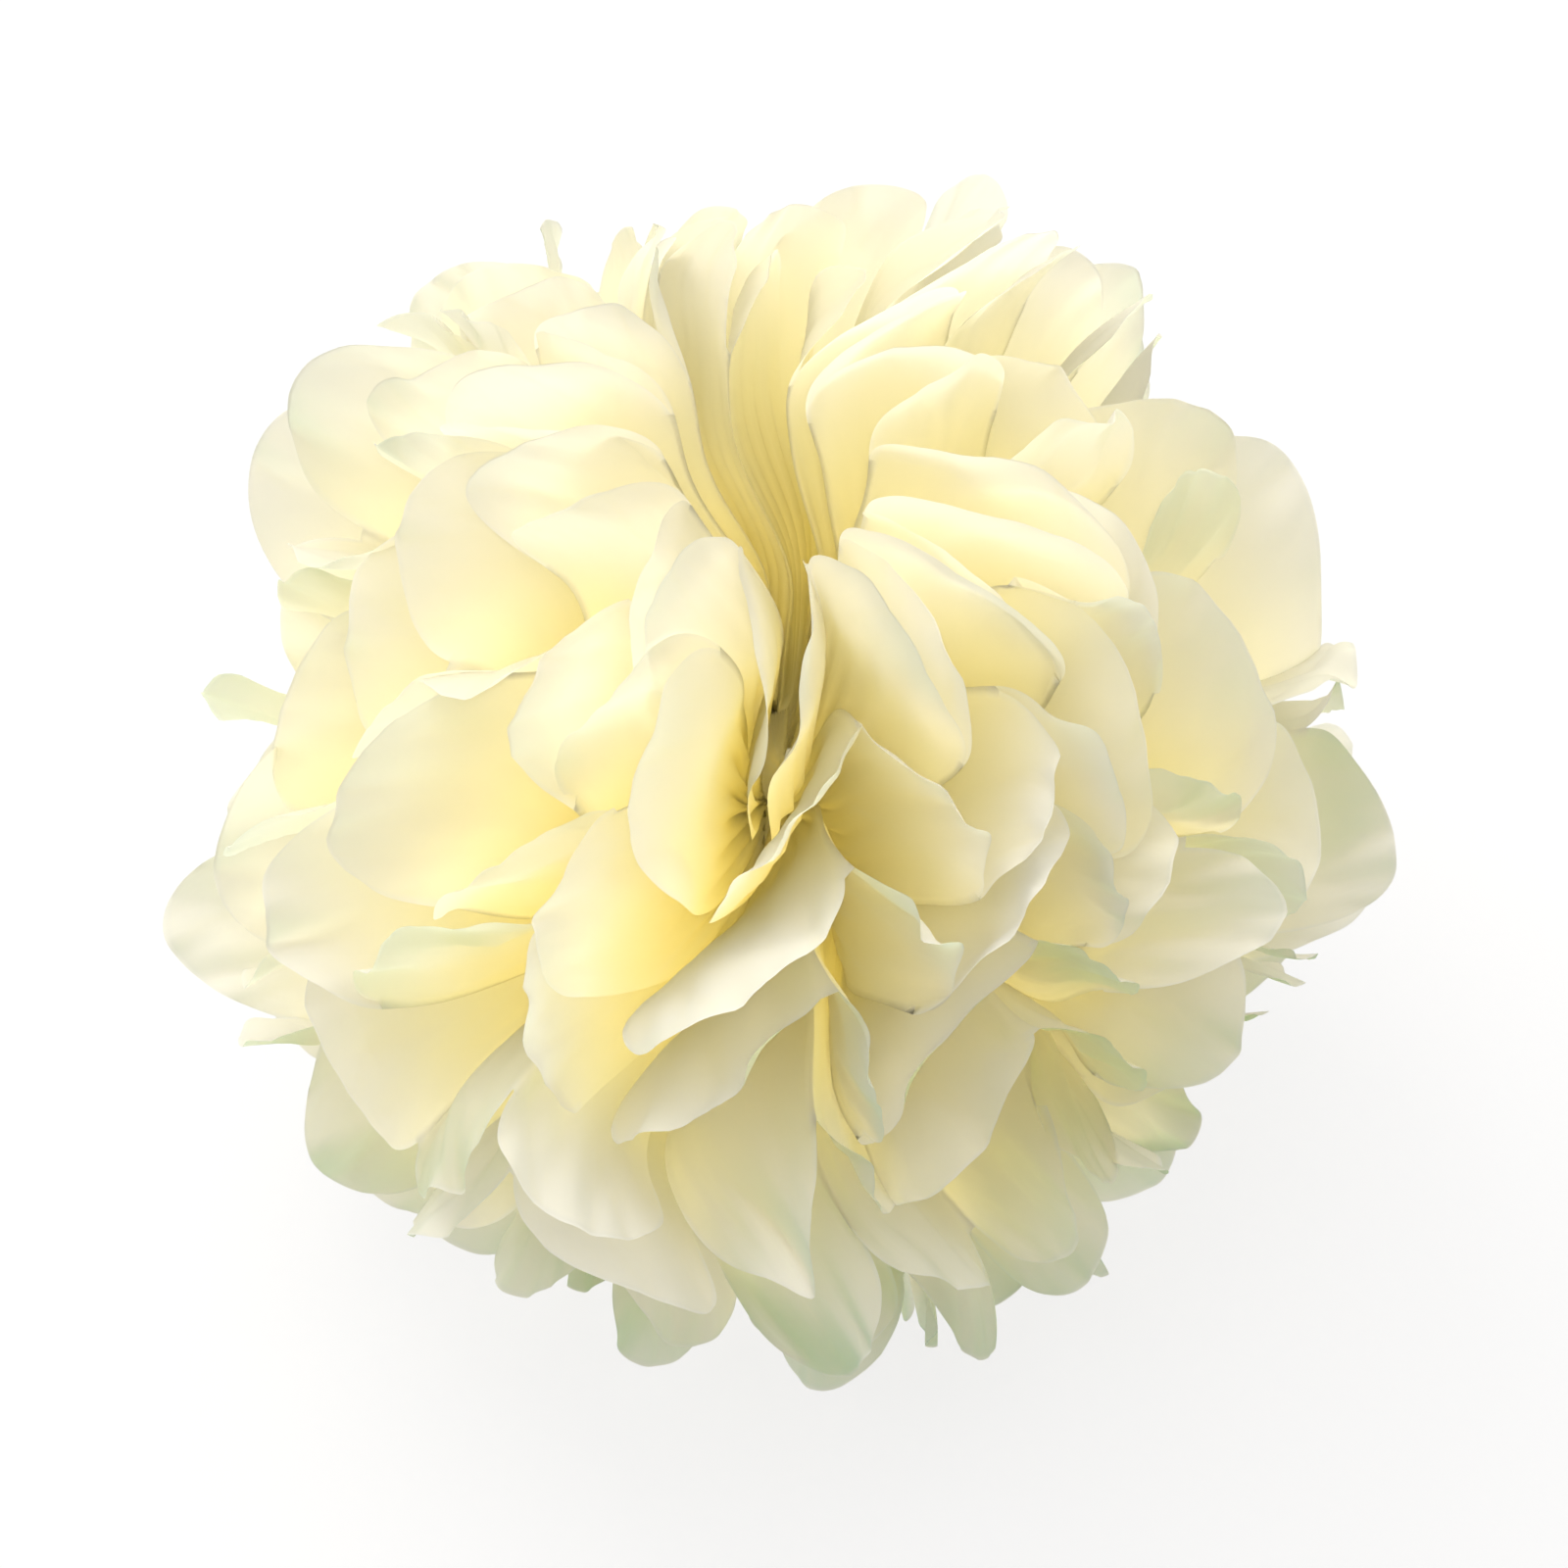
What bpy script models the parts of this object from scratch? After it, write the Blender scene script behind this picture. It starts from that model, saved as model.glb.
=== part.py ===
"""Tissue paper pom pom: pleated sheets tied at the waist and fanned into a ball.

Every sheet starts as a flat grid. Its two ends are cut into round petals, it is pleated
lengthwise, gathered flat at the tie, and its two halves are opened into fans that stand at
the sheet's own angle. Units are metres, +Z is up and z = 0 is the table.
"""

import math

import bmesh
import bpy
import numpy as np

MM = 0.001
DEG = math.pi / 180

# The flat sheets
SHEETS = 10
PLEATS = 12
PLEAT_WIDTH = 32 * MM
SHEET_LENGTH = 194 * MM
PETAL_DEPTH = 17 * MM
PAPER_THICKNESS = 0.22 * MM

# The gathered waist under the wire
WAIST_WIDTH = 8 * MM
WAIST_LENGTH = 2.4 * MM
STACK_PITCH = 0.78 * MM
BEND_RADIUS = 6 * MM

# The opened fans
TOP_ANGLE = 70 * DEG
SLIT_ANGLE = 0.7 * DEG
PLEAT_START = 8 * MM
PLEAT_RISE = 0.45
POLE_CLEARANCE = 4.0 * MM
CENTRE_HEIGHT = 77 * MM
TABLE_SLIDE = 0.75
TABLE_STEP = 0.9 * MM
TABLE_SOFTNESS = 4 * MM
TABLE_PRESS = 0.4 * MM

# How unevenly the paper opened
PITCH_SPREAD = 0.35
TWIST_ANGLE = 4.5 * DEG
STAGGER_ANGLE = 4.0 * DEG
WANDER_ANGLE = 3.2 * DEG
LENGTH_SPREAD = 4.5 * MM
CURL_SPREAD = 7.0 * MM
PETAL_TURN = 6.0 * MM
BOW = 0.16
SWAY = ((8.0 * MM, 125 * MM), (4.2 * MM, 55 * MM), (1.5 * MM, 28 * MM))
SLIT_SWAY = 6 * MM
SLIT_WAVE = 105 * MM
SEED = 10

# The wire
WIRE_RADIUS = 0.45 * MM
WIRE_GAP = 0.4 * MM
TAIL_TURNS = 0.75
TAIL_LENGTH = 12 * MM

HALF_LENGTH = SHEET_LENGTH / 2 - WAIST_LENGTH / 2
FOLD_END = HALF_LENGTH - PETAL_DEPTH
STACK_HALF = STACK_PITCH * (SHEETS - 1) / 2

PAPER_COLOUR = (0.93, 0.90, 0.70, 1.0)
WIRE_COLOUR = (0.86, 0.85, 0.80, 1.0)


def smooth(low, high, value):
    """Return 0 below low, 1 above high and an S-shaped blend between them."""
    part = np.clip((value - low) / (high - low), 0.0, 1.0)
    return part * part * (3 - 2 * part)


class Drape:
    """The uneven opening that all sheets share: fold spacing, twist and sway."""

    def __init__(self, seed):
        rng = np.random.default_rng(seed)
        self.folds = {side: self.uneven_folds(rng) for side in (1, -1)}
        self.twist_phase = rng.uniform(0, 2 * math.pi, 2)
        self.waves = []
        for amplitude, wavelength in SWAY:
            for _ in range(3):
                heading = rng.normal(size=3)
                heading /= np.linalg.norm(heading)
                push = rng.normal(size=3)
                push /= np.linalg.norm(push)
                self.waves.append((amplitude / math.sqrt(3), heading / wavelength, push, rng.uniform(0, 1)))
        along_slit = np.array((0.0, 0.8, 0.6))
        self.waves.append((SLIT_SWAY, along_slit / SLIT_WAVE, np.array((1.0, 0.0, 0.0)), 0.15))
        shape = (SHEETS, 2, PLEATS)
        self.length = rng.uniform(-1, 1, shape)
        self.curl = rng.uniform(-1, 1, shape)
        self.turn = rng.uniform(-1, 1, shape)
        self.bow = rng.uniform(0.3, 1, (2, PLEATS)) * rng.choice((-1, 1, 1), (2, PLEATS))
        self.ripple = rng.uniform(0, 2 * math.pi, (SHEETS, 2, 2, 3))

    @staticmethod
    def uneven_folds(rng):
        """Return the azimuths of one fan's folds, spread unevenly over its half turn."""
        widths = 1 + PITCH_SPREAD * rng.uniform(-1, 1, PLEATS)
        edges = np.concatenate(([0], np.cumsum(widths))) / widths.sum()
        return -math.pi / 2 + SLIT_ANGLE + edges * (math.pi - 2 * SLIT_ANGLE)

    def azimuth(self, side, across, tilt):
        """Return the azimuth of a point across the pleats, on a sheet of this tilt."""
        angle = np.interp(across, np.arange(PLEATS + 1), self.folds[side])
        twist = np.sin(2.1 * tilt + self.twist_phase[0]) + 0.5 * np.sin(5.3 * tilt + self.twist_phase[1])
        return angle, TWIST_ANGLE * twist

    def wander(self, index, fan, kind, across):
        """Return a sheet's own slow wave along its pleats, between -1 and 1."""
        phases = self.ripple[index, fan, kind]
        wave = sum(np.sin(2 * math.pi * across / length + phase)
                   for length, phase in zip((11.0, 6.3, 4.1), phases))
        return wave / 2.2

    def sway(self, points):
        """Return the slow drift of the paper at these points, nothing at the waist."""
        drift = np.zeros_like(points)
        for amplitude, heading, push, phase in self.waves:
            wave = np.sin(2 * math.pi * (points @ heading + phase))
            drift += amplitude * wave[:, None] * push
        reach = np.linalg.norm(points, axis=1)
        calm = smooth(15 * MM, 80 * MM, reach) * smooth(-CENTRE_HEIGHT, -0.1 * CENTRE_HEIGHT, points[:, 2])
        return drift * calm[:, None]


class Sheet:
    """One pleated sheet: where each point of the flat paper ends up."""

    def __init__(self, index, drape):
        self.index = index
        self.drape = drape
        share = 2 * index / (SHEETS - 1) - 1
        self.tilt = share * TOP_ANGLE
        self.level = share * STACK_HALF
        self.bend = BEND_RADIUS + STACK_HALF - abs(self.level)
        self.floor = PAPER_THICKNESS / 2 + index * TABLE_STEP

    def run(self, along):
        """Return the distance from the axis and the height of the fan's middle surface."""
        up = math.copysign(1, self.tilt)
        steep = abs(self.tilt)
        angle = np.minimum(along / self.bend, steep)
        straight = along - angle * self.bend
        out = self.bend * np.sin(angle) + straight * math.cos(steep)
        rise = self.bend * (1 - np.cos(angle)) + straight * math.sin(steep)
        return out, self.level + up * rise, up * angle

    def pleat_height(self, out, along):
        """Return half the height of the zigzag, which keeps each pleat's true width."""
        chord = math.pi / PLEATS * out
        full = np.sqrt(np.maximum((PLEAT_WIDTH / 2) ** 2 - (chord / 2) ** 2, (0.1 * PLEAT_WIDTH) ** 2))
        start = PLEAT_RISE * np.maximum(along - PLEAT_START, 0)
        room = np.maximum(out - POLE_CLEARANCE, 0) / max(abs(math.sin(self.tilt)), 0.2)
        return np.minimum(np.minimum(full, start), room)

    def place(self, side, across, along):
        """Return the points in space of flat points across the pleats and along a fan."""
        panel = np.clip(np.floor(across).astype(int), 0, PLEATS - 1)
        local = 2 * (across - panel) - 1
        fan = 0 if side > 0 else 1
        open_share = smooth(0.45, 1.0, along / HALF_LENGTH)
        loose = np.clip((along - FOLD_END) / PETAL_DEPTH, 0, 1.3)
        petal = self.drape.length[self.index, fan, panel]
        along = along + LENGTH_SPREAD * petal * loose

        out, rise, slope = self.run(along)
        height = self.pleat_height(out, along)
        chord = math.pi / PLEATS * out
        wave = 1 - 2 * np.abs(np.mod(across, 2) - 1)
        steepness = np.where(panel % 2 == 0, 1, -1) * 2 * height / np.maximum(chord, 1e-6)
        lean = 1 / np.sqrt(1 + steepness ** 2)

        bow = BOW * chord * self.drape.bow[fan, panel] * (1 - local ** 2) * smooth(0.2, 0.7, along / HALF_LENGTH)
        curl = CURL_SPREAD * self.drape.curl[self.index, fan, panel] * loose ** 1.4
        turn = PETAL_TURN * abs(self.drape.turn[self.index, fan, panel]) * local * loose
        turn *= np.where(panel % 2 == 0, 1, -1)
        above = CENTRE_HEIGHT + rise + height * wave * np.cos(slope)
        roomy = np.minimum(chord / (0.45 * PLEAT_WIDTH), 1) * (0.35 + 0.65 * lean)
        push = (bow + (curl + turn) * roomy) * smooth(0, 22 * MM, above)
        lift = height * wave + push * lean
        lift += WANDER_ANGLE * along * open_share * self.drape.wander(self.index, fan, 0, across)
        shift = -push * steepness * lean

        angle, twist = self.drape.azimuth(side, across, slope)
        twist = twist * smooth(10 * MM, 60 * MM, along)
        twist += STAGGER_ANGLE * open_share * self.drape.wander(self.index, fan, 1, across)
        reach = out - lift * np.sin(slope)
        reach = np.where(along > PLEAT_START, self.keep_off_axis(reach), reach)
        level = rise + lift * np.cos(slope)
        heading = angle + twist
        waist = WAIST_WIDTH * (across / PLEATS - 0.5)
        x = WAIST_LENGTH / 2 + reach * np.cos(heading) - shift * np.sin(heading)
        y = waist + reach * np.sin(heading) + shift * np.cos(heading)
        points = np.stack((side * x, side * y, level), axis=1)
        points += self.drape.sway(points)
        return self.settle(points)

    @staticmethod
    def keep_off_axis(reach):
        """Keep the innermost folds a little off the ball's axis, without a step."""
        near = POLE_CLEARANCE / 2
        return near + near * np.logaddexp(0, (reach - near) / near) * 0.999

    def settle(self, points):
        """Stand the ball on the table: petals that would pass it bend and slide outwards."""
        height = points[:, 2] + CENTRE_HEIGHT - self.floor
        pressed = TABLE_SOFTNESS * np.logaddexp(0, height / TABLE_SOFTNESS)
        flat = points[:, :2]
        outward = flat / np.maximum(np.linalg.norm(flat, axis=1), 1e-6)[:, None]
        slid = flat + outward * (TABLE_SLIDE * (pressed - height))[:, None]
        pressed = np.maximum(pressed - TABLE_PRESS * np.exp(-height / (3 * TABLE_SOFTNESS)), 0)
        return np.column_stack((slid, self.floor + pressed))


def petal_outline(row, local):
    """Return a petal's point for one of its rows: across the pleat (-1 to 1) and along."""
    middle = 1 - abs(local)
    if row == 0:
        return local, FOLD_END
    if row == 1:
        return 0.92 * local, HALF_LENGTH - PETAL_DEPTH * (0.52 + 0.02 * middle)
    return 0.55 * local, HALF_LENGTH - PETAL_DEPTH * 0.11 * abs(local)


def flat_sheet():
    """Make the flat sheet with its petals cut apart, and give each point its flat place."""
    inner = (0, 9 * MM)
    rows = len(inner) + 2
    bm = bmesh.new()
    bmesh.ops.create_grid(bm, x_segments=2 * rows + 1, y_segments=2 * PLEATS, size=1.0)
    for vert in bm.verts:
        vert.co.x = round((vert.co.x + 1) / 2 * (2 * rows + 1))
        vert.co.y = round((vert.co.y + 1) / 2 * 2 * PLEATS)
    cut = [edge for edge in bm.edges
           if edge.verts[0].co.y == edge.verts[1].co.y
           and edge.verts[0].co.y % 2 == 0
           and 0 < edge.verts[0].co.y < 2 * PLEATS
           and (min(v.co.x for v in edge.verts) < 2 or max(v.co.x for v in edge.verts) > 2 * rows - 1)]
    bmesh.ops.split_edges(bm, edges=cut)
    bm.verts.index_update()
    places = []
    for vert in bm.verts:
        row = vert.co.x - rows if vert.co.x > rows else rows + 1 - vert.co.x
        side = 1 if vert.co.x > rows else -1
        middle = sum(face.calc_center_median().y for face in vert.link_faces) / len(vert.link_faces)
        row = int(row) - 1
        if row < len(inner):
            across, along = vert.co.y / 2, inner[row]
        else:
            panel = math.floor(middle / 2) if row > len(inner) else min(int(vert.co.y // 2), PLEATS - 1)
            local = vert.co.y - 2 * panel - 1
            local, along = petal_outline(row - len(inner), local)
            across = panel + (local + 1) / 2
        places.append((side, across if side > 0 else PLEATS - across, along))
    return bm, places


def paper_material(name):
    """Make the plain cream tissue finish."""
    material = bpy.data.materials.new(name)
    material.use_nodes = True
    shader = material.node_tree.nodes["Principled BSDF"]
    shader.inputs["Base Color"].default_value = PAPER_COLOUR
    shader.inputs["Roughness"].default_value = 0.85
    shader.inputs["Metallic"].default_value = 0.0
    return material


def wire_material(name):
    """Make the finish of the thin painted wire."""
    material = bpy.data.materials.new(name)
    material.use_nodes = True
    shader = material.node_tree.nodes["Principled BSDF"]
    shader.inputs["Base Color"].default_value = WIRE_COLOUR
    shader.inputs["Roughness"].default_value = 0.45
    shader.inputs["Metallic"].default_value = 0.0
    return material


def make_sheet(index, drape, collection):
    """Build one pleated sheet as a thin solid."""
    name = f"sheet_{index + 1:02d}"
    bm, places = flat_sheet()
    sides = np.array([place[0] for place in places])
    across = np.array([place[1] for place in places])
    along = np.array([place[2] for place in places])
    sheet = Sheet(index, drape)
    points = np.zeros((len(places), 3))
    for side in (1, -1):
        chosen = sides == side
        points[chosen] = sheet.place(side, across[chosen], along[chosen])
    for vert in bm.verts:
        vert.co = points[vert.index]
    mesh = bpy.data.meshes.new(name)
    bm.to_mesh(mesh)
    bm.free()
    mesh.materials.append(paper_material(name))
    body = bpy.data.objects.new(name, mesh)
    collection.objects.link(body)
    wall = body.modifiers.new("thickness", "SOLIDIFY")
    wall.thickness = PAPER_THICKNESS
    wall.offset = 0.0
    wall.use_even_offset = False
    return body


def wire_route():
    """Return the wire's route: up one tail, round the waist, and down the other tail."""
    half_width = WAIST_WIDTH / 2 + WIRE_GAP + WIRE_RADIUS
    half_height = STACK_HALF + PAPER_THICKNESS / 2 + WIRE_GAP + WIRE_RADIUS
    corner = 0.9 * MM
    spread = 1.6 * WIRE_RADIUS
    start = -half_height - 2.2 * MM
    route = []
    steps = 6
    for step in range(steps):
        share = step / steps
        angle = TAIL_TURNS * 2 * math.pi * (1 - share)
        route.append((spread * math.sin(angle), spread * math.cos(angle), start - TAIL_LENGTH * (1 - share)))
    half = [(0.0, spread, start),
            (0.0, half_width - corner, -half_height), (0.0, half_width, -half_height + corner),
            (0.0, half_width, half_height - corner), (0.0, half_width - corner, half_height)]
    loop = half + [(x, -y, z) for x, y, z in reversed(half)]
    back = [(-x, -y, z) for x, y, z in reversed(route)]
    return [(x, y, z + CENTRE_HEIGHT) for x, y, z in route + loop + back]


def make_wire(collection):
    """Build the tie wire as one round tube along its route."""
    name = "tie_wire"
    curve = bpy.data.curves.new(name, "CURVE")
    curve.dimensions = "3D"
    curve.bevel_depth = WIRE_RADIUS
    curve.bevel_resolution = 1
    curve.use_fill_caps = True
    route = wire_route()
    spline = curve.splines.new("POLY")
    spline.points.add(len(route) - 1)
    for point, place in zip(spline.points, route):
        point.co = (*place, 1.0)
    curve.materials.append(wire_material(name))
    wire = bpy.data.objects.new(name, curve)
    collection.objects.link(wire)
    return wire


def centre_in_plan(pieces, sheets, collection):
    """Stand the ball with the middle of its box in plan over the origin."""
    places = np.array([vert.co[:2] for sheet in sheets for vert in sheet.data.vertices])
    middle = (places.min(axis=0) + places.max(axis=0)) / 2
    stand = bpy.data.objects.new("pom_pom_centre", None)
    stand.location = (-middle[0], -middle[1], 0.0)
    collection.objects.link(stand)
    for piece in pieces:
        piece.parent = stand


def main():
    """Clear the file and build every piece of the pom pom."""
    for item in list(bpy.data.objects):
        bpy.data.objects.remove(item, do_unlink=True)
    collection = bpy.data.collections.new("tissue_pom_pom")
    bpy.context.scene.collection.children.link(collection)
    drape = Drape(SEED)
    sheets = [make_sheet(index, drape, collection) for index in range(SHEETS)]
    wire = make_wire(collection)
    centre_in_plan(sheets + [wire], sheets, collection)
    bpy.context.view_layer.update()


main()
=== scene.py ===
"""Fine looks of the tissue paper pom pom: thin cream sheets, their tie and a pale studio.

Each sheet is folded from a flat grid by the same rules as its solid, with many more points,
so that the petals get round ends, soft creases and curled rims.
"""

from __future__ import annotations

import logging
import math
from dataclasses import dataclass, field
from enum import Enum
from typing import Any

import bmesh
import bpy
import numpy as np
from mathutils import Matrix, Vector


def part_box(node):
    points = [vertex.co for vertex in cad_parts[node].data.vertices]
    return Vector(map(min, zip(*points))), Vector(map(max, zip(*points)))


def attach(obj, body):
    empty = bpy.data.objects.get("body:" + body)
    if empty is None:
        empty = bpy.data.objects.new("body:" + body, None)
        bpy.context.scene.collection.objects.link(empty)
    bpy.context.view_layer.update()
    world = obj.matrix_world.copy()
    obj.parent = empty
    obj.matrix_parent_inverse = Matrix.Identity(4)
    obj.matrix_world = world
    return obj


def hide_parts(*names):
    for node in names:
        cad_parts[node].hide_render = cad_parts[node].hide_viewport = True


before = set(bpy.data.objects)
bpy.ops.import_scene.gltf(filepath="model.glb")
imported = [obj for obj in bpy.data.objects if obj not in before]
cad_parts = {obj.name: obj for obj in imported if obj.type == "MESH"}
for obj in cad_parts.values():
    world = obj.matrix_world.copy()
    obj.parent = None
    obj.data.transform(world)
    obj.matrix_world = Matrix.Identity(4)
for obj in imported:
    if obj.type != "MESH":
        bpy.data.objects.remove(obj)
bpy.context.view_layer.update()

LOG = logging.getLogger("tissue_pom_pom")

MM = 0.001
DEG = math.pi / 180
TURN = 2 * math.pi
VIEW_HEIGHT = 0.087

Array = np.ndarray


class Side(Enum):
    """Which half of a sheet a point belongs to, on either side of the tie."""

    RIGHT = 1
    LEFT = -1

    @property
    def row(self) -> int:
        """Return this side's row in the tables of chance values."""
        return 0 if self is Side.RIGHT else 1


class Ripple(Enum):
    """The two slow waves that run along a sheet's pleats."""

    LIFT = 0
    TURN = 1


@dataclass(frozen=True)
class PaperCut:
    """Sizes of the flat sheets and of their gathered waist, in metres."""

    sheets: int = 10
    pleats: int = 12
    pleat_width: float = 32 * MM
    sheet_length: float = 194 * MM
    petal_depth: float = 17 * MM
    solid_thickness: float = 0.22 * MM
    waist_width: float = 8 * MM
    waist_length: float = 2.4 * MM
    stack_pitch: float = 0.78 * MM
    bend_radius: float = 6 * MM

    @property
    def half_length(self) -> float:
        """Return the length of one fan, from the tie to a petal's tip."""
        return self.sheet_length / 2 - self.waist_length / 2

    @property
    def fold_end(self) -> float:
        """Return how far from the tie the folds run before the petals part."""
        return self.half_length - self.petal_depth

    @property
    def stack_half(self) -> float:
        """Return half the height of the gathered stack."""
        return self.stack_pitch * (self.sheets - 1) / 2

    @property
    def flat_width(self) -> float:
        """Return the width of a flat sheet, across its pleats."""
        return self.pleats * self.pleat_width

    @property
    def flat_area(self) -> float:
        """Return the area of a flat sheet with its rounded ends."""
        straight = self.pleat_width * (self.sheet_length - 2 * self.petal_depth)
        rounded = math.pi * self.pleat_width / 2 * self.petal_depth
        return self.pleats * (straight + rounded)


@dataclass(frozen=True)
class Fanning:
    """How the sheets are opened into a ball, and how it stands."""

    top_angle: float = 70 * DEG
    slit_angle: float = 0.7 * DEG
    pleat_start: float = 8 * MM
    pleat_rise: float = 0.45
    flattest_pleat: float = 0.1
    shallowest_tilt: float = 0.2
    corner_ease: float = 2 * MM
    pole_clearance: float = 4 * MM
    centre_height: float = 77 * MM
    table_slide: float = 0.75
    table_step: float = 0.9 * MM
    table_softness: float = 4 * MM
    table_press: float = 0.4 * MM
    pitch_spread: float = 0.35
    twist_angle: float = 4.5 * DEG
    stagger_angle: float = 4.0 * DEG
    wander_angle: float = 3.2 * DEG
    length_spread: float = 4.5 * MM
    curl_spread: float = 7.0 * MM
    petal_turn: float = 6.0 * MM
    bow: float = 0.16
    sway: tuple[tuple[float, float], ...] = ((8.0 * MM, 125 * MM), (4.2 * MM, 55 * MM), (1.5 * MM, 28 * MM))
    slit_sway: float = 6 * MM
    slit_wave: float = 105 * MM
    slit_heading: tuple[float, float, float] = (0.0, 0.8, 0.6)
    slit_phase: float = 0.15
    twist_rates: tuple[float, float] = (2.1, 5.3)
    wander_lengths: tuple[float, float, float] = (11.0, 6.3, 4.1)
    wander_peak: float = 2.2
    sway_reach: tuple[float, float] = (15 * MM, 80 * MM)
    twist_reach: tuple[float, float] = (10 * MM, 60 * MM)
    narrow_pleat: float = 0.45
    steep_share: float = 0.35
    stray_share: tuple[float, float] = (0.45, 1.0)
    bow_share: tuple[float, float] = (0.2, 0.7)
    free_height: float = 22 * MM
    loosest: float = 1.3
    seed: int = 10


@dataclass(frozen=True)
class Softness:
    """Fine shapes that only the thin paper shows: lengths in metres, and shares of a fan or petal."""

    tip_curl: float = 6.5 * MM
    rim_flare: float = 3.4 * MM
    flutter: float = 3.0 * MM
    cup: float = 2.4 * MM
    cup_level: float = 0.4
    ripple_rates: tuple[float, float] = (4.2, 7.9)
    ripple_lean: float = 3.0
    ripple_share: float = 0.6
    crease: float = 1.7 * MM
    creases: tuple[tuple[float, float, float], ...] = ((1.0, 2.3, 0.55), (0.7, 3.6, -0.8), (0.42, 6.1, 0.35),
                                                       (0.26, 9.2, -0.5))
    gathers: int = 6
    gather_rise: float = 0.16
    curl_share: tuple[float, float] = (0.62, 1.05)
    crease_share: tuple[float, float] = (0.35, 0.9)
    crease_step: float = 10 * MM
    crease_middle: float = 0.64
    # The next three settings colour the paper: painted shade along the crease lines, and a random tint for
    # each petal.
    line_width: float = 0.16
    painted_crease_shade_weight: float = 0.75
    petal_tone: float = 0.35
    seed: int = 7


CUT = PaperCut()
FAN = Fanning()
SOFT = Softness()


def smooth(low: float, high: float, value: Array) -> Array:
    """Blend from 0 to 1 along an S.

    Args:
        low: Where the blend starts.
        high: Where it ends.
        value: The values to place on it.

    Returns:
        The blend for each value.
    """
    part = np.clip((value - low) / (high - low), 0.0, 1.0)
    return part * part * (3 - 2 * part)


class Opening:
    """The uneven opening that all sheets share: fold spacing, twist and sway."""

    def __init__(self, cut: PaperCut, fan: Fanning) -> None:
        """Draw the chance values in the order that the solids use.

        Args:
            cut: The sizes of the paper.
            fan: How the sheets are opened.
        """
        self.cut = cut
        self.fan = fan
        rng = np.random.default_rng(fan.seed)
        self.folds = {side: self._uneven_folds(rng) for side in (Side.RIGHT, Side.LEFT)}
        self.twist_phase = rng.uniform(0, TURN, 2)
        self.waves: list[tuple[float, Array, Array, float]] = []
        for amplitude, wavelength in fan.sway:
            for _ in range(3):
                heading = rng.normal(size=3)
                heading /= np.linalg.norm(heading)
                push = rng.normal(size=3)
                push /= np.linalg.norm(push)
                self.waves.append((amplitude / math.sqrt(3), heading / wavelength, push, rng.uniform(0, 1)))
        along_slit, sideways = np.array(fan.slit_heading), np.array((1.0, 0.0, 0.0))
        self.waves.append((fan.slit_sway, along_slit / fan.slit_wave, sideways, fan.slit_phase))
        shape = (cut.sheets, 2, cut.pleats)
        self.length = rng.uniform(-1, 1, shape)
        self.curl = rng.uniform(-1, 1, shape)
        self.turn = rng.uniform(-1, 1, shape)
        self.bow = rng.uniform(0.3, 1, (2, cut.pleats)) * rng.choice((-1, 1, 1), (2, cut.pleats))
        self.ripple = rng.uniform(0, TURN, (cut.sheets, 2, 2, 3))

    def _uneven_folds(self, rng: np.random.Generator) -> Array:
        """Spread one fan's folds unevenly over its half turn.

        Args:
            rng: The source of chance values.

        Returns:
            The azimuth of each fold.
        """
        widths = 1 + self.fan.pitch_spread * rng.uniform(-1, 1, self.cut.pleats)
        edges = np.concatenate(([0], np.cumsum(widths))) / widths.sum()
        return -math.pi / 2 + self.fan.slit_angle + edges * (math.pi - 2 * self.fan.slit_angle)

    def heading(self, side: Side, across: Array) -> Array:
        """Return the azimuth of points across the pleats, before any twist."""
        return np.interp(across, np.arange(self.cut.pleats + 1), self.folds[side])

    def twist(self, tilt: Array) -> Array:
        """Return how far sheets of this tilt are turned round the ball's axis."""
        (first, second), (slow, quick) = self.twist_phase, self.fan.twist_rates
        return self.fan.twist_angle * (np.sin(slow * tilt + first) + 0.5 * np.sin(quick * tilt + second))

    def wander(self, index: int, side: Side, kind: Ripple, across: Array) -> Array:
        """Read a sheet's own slow wave along its pleats.

        Args:
            index: The sheet's number from the bottom.
            side: The fan.
            kind: Which of its two waves.
            across: Places across the pleats.

        Returns:
            The wave at each place, about -1 to 1.
        """
        phases = self.ripple[index, side.row, kind.value]
        lengths = self.fan.wander_lengths
        wave = sum(np.sin(TURN * across / length + phase) for length, phase in zip(lengths, phases))
        return wave / self.fan.wander_peak

    def sway(self, points: Array) -> Array:
        """Find the slow drift of the paper, which is nothing at the waist.

        Args:
            points: Points from the ball's centre.

        Returns:
            How far each point drifts.
        """
        drift = np.zeros_like(points)
        for amplitude, heading, push, phase in self.waves:
            drift += amplitude * np.sin(TURN * (points @ heading + phase))[:, None] * push
        reach = np.linalg.norm(points, axis=1)
        height = self.fan.centre_height
        calm = smooth(*self.fan.sway_reach, reach) * smooth(-height, -0.1 * height, points[:, 2])
        return drift * calm[:, None]


class PetalChance:
    """The fine unevenness of each petal: how its tip curls and its rim ripples."""

    def __init__(self, cut: PaperCut, soft: Softness) -> None:
        """Draw the values for every petal.

        Args:
            cut: The sizes of the paper.
            soft: How far the thin paper bends.
        """
        rng = np.random.default_rng(soft.seed)
        shape = (cut.sheets, 2, cut.pleats)
        self.curl = rng.uniform(-1, 1, shape)
        self.flare = rng.uniform(-0.4, 1, shape)
        self.flutter = rng.uniform(0.3, 1, shape)
        self.cup = rng.uniform(-1, 1, shape)
        self.phase = rng.uniform(0, TURN, (*shape, 3))
        self.crease = rng.uniform(0, TURN, (*shape, 4))


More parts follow.
